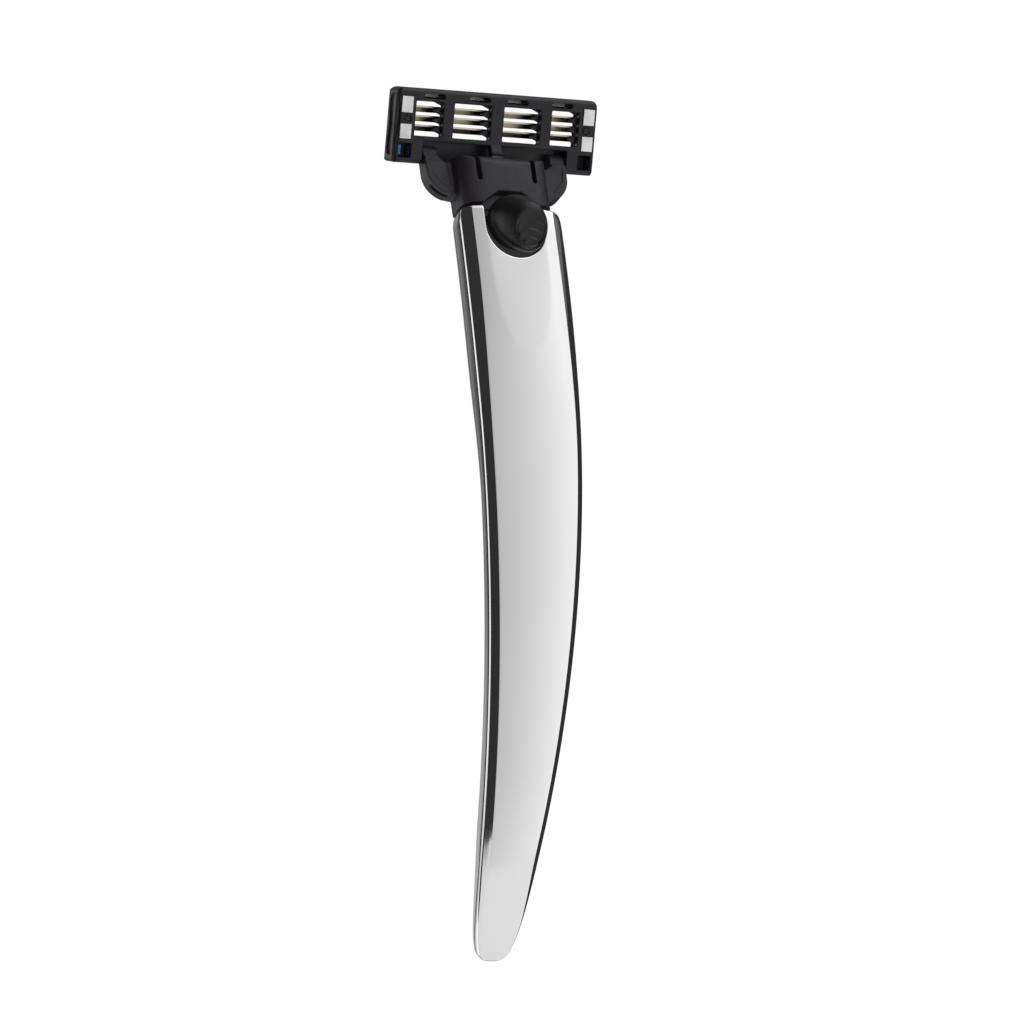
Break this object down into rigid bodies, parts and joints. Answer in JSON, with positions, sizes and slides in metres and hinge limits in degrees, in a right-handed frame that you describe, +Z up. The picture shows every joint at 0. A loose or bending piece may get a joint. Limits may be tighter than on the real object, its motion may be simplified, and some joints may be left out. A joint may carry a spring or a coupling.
{
  "type": "cartridge razor",
  "caption": "Cartridge razor with an arched chrome handle, a sliding rubber release button and a sprung pivoting blade head that pulls off the handle's nose.",
  "frame": {"origin": "middle of the base of the bounding box, on the table the razor lies on", "axes": "+X across the cartridge's width, +Y along the handle towards the cartridge, +Z up with the button side on top"},
  "size_m": [0.0416, 0.1654, 0.0251],
  "materials": {
    "polished_chrome": "mirror-polished chrome plate",
    "cast_weight": "as-cast zinc alloy, hidden inside",
    "black_plastic": "fine moulded satin",
    "yoke_plastic": "satin with a fine moulded grain",
    "housing_plastic": "semi-gloss, glossier end rims",
    "button_rubber": "matte, finely textured",
    "spring_steel": "drawn wire and strip",
    "blade_steel": "ground and polished",
    "support_steel": "bent strip with a warm tint",
    "clip_aluminium": "soft satin aluminium strip",
    "strip_polymer": "waxy, slightly translucent look",
    "fin_elastomer": "soft matte"
  },
  "bodies": {
    "handle": {"front_shell": "polished_chrome", "rear_shell": "polished_chrome", "core_weight": "cast_weight", "nose_chassis": "black_plastic", "chassis_pin": "spring_steel", "latch_springs": "spring_steel", "button_springs": "spring_steel", "plunger_spring": "spring_steel"},
    "button_carriage": {"release_button": "button_rubber", "button_slide": "black_plastic"},
    "plunger_rod": {"plunger": "black_plastic"},
    "yoke_body": {"yoke": "yoke_plastic"},
    "cartridge": {"cartridge_housing": "housing_plastic", "clip_left": "clip_aluminium", "clip_right": "clip_aluminium", "lubricating_strip": "strip_polymer", "guard_fins": "fin_elastomer"},
    "blade_unit_1": {"blade_1": "blade_steel", "blade_support_1": "support_steel"},
    "blade_unit_2": {"blade_2": "blade_steel", "blade_support_2": "support_steel"},
    "blade_unit_3": {"blade_3": "blade_steel", "blade_support_3": "support_steel"}
  },
  "joints": [
    {"name": "button_press", "type": "slide", "parent": "handle", "child": "button_carriage", "axis": [0, 0.9516, -0.3074], "range_m": [0, 0.0035], "stiffness_N_per_m": 400, "springref_m": -0.004, "deforming": ["button_springs"]},
    {"name": "cartridge_pull", "type": "slide", "parent": "button_carriage", "child": "yoke_body", "axis": [0, 0.9516, -0.3074], "range_m": [0, 0.012], "deforming": ["latch_springs"]},
    {"name": "head_pivot", "type": "hinge", "parent": "yoke_body", "child": "cartridge", "pos_m": [0, 0.07052, 0.00348], "axis": [1, 0, 0], "range_deg": [0, 40], "stiffness_Nm_per_rad": 0.006, "springref_deg": -22.92},
    {"name": "plunger_travel", "type": "slide", "parent": "handle", "child": "plunger_rod", "axis": [0, 0.9516, -0.3074], "range_m": [-0.0015, 0], "deforming": ["plunger_spring"]},
    {"name": "blade_float_1", "type": "slide", "parent": "cartridge", "child": "blade_unit_1", "axis": [0, -0.2215, 0.9751], "range_m": [0, 0.0003], "stiffness_N_per_m": 300, "springref_m": -0.001},
    {"name": "blade_float_2", "type": "slide", "parent": "cartridge", "child": "blade_unit_2", "axis": [0, -0.2215, 0.9751], "range_m": [0, 0.0003], "stiffness_N_per_m": 300, "springref_m": -0.001},
    {"name": "blade_float_3", "type": "slide", "parent": "cartridge", "child": "blade_unit_3", "axis": [0, -0.2215, 0.9751], "range_m": [0, 0.0003], "stiffness_N_per_m": 300, "springref_m": -0.001}
  ],
  "couplings": [
    {"joint": "plunger_travel", "follows": "head_pivot", "m_per_rad": -0.002086}
  ]
}
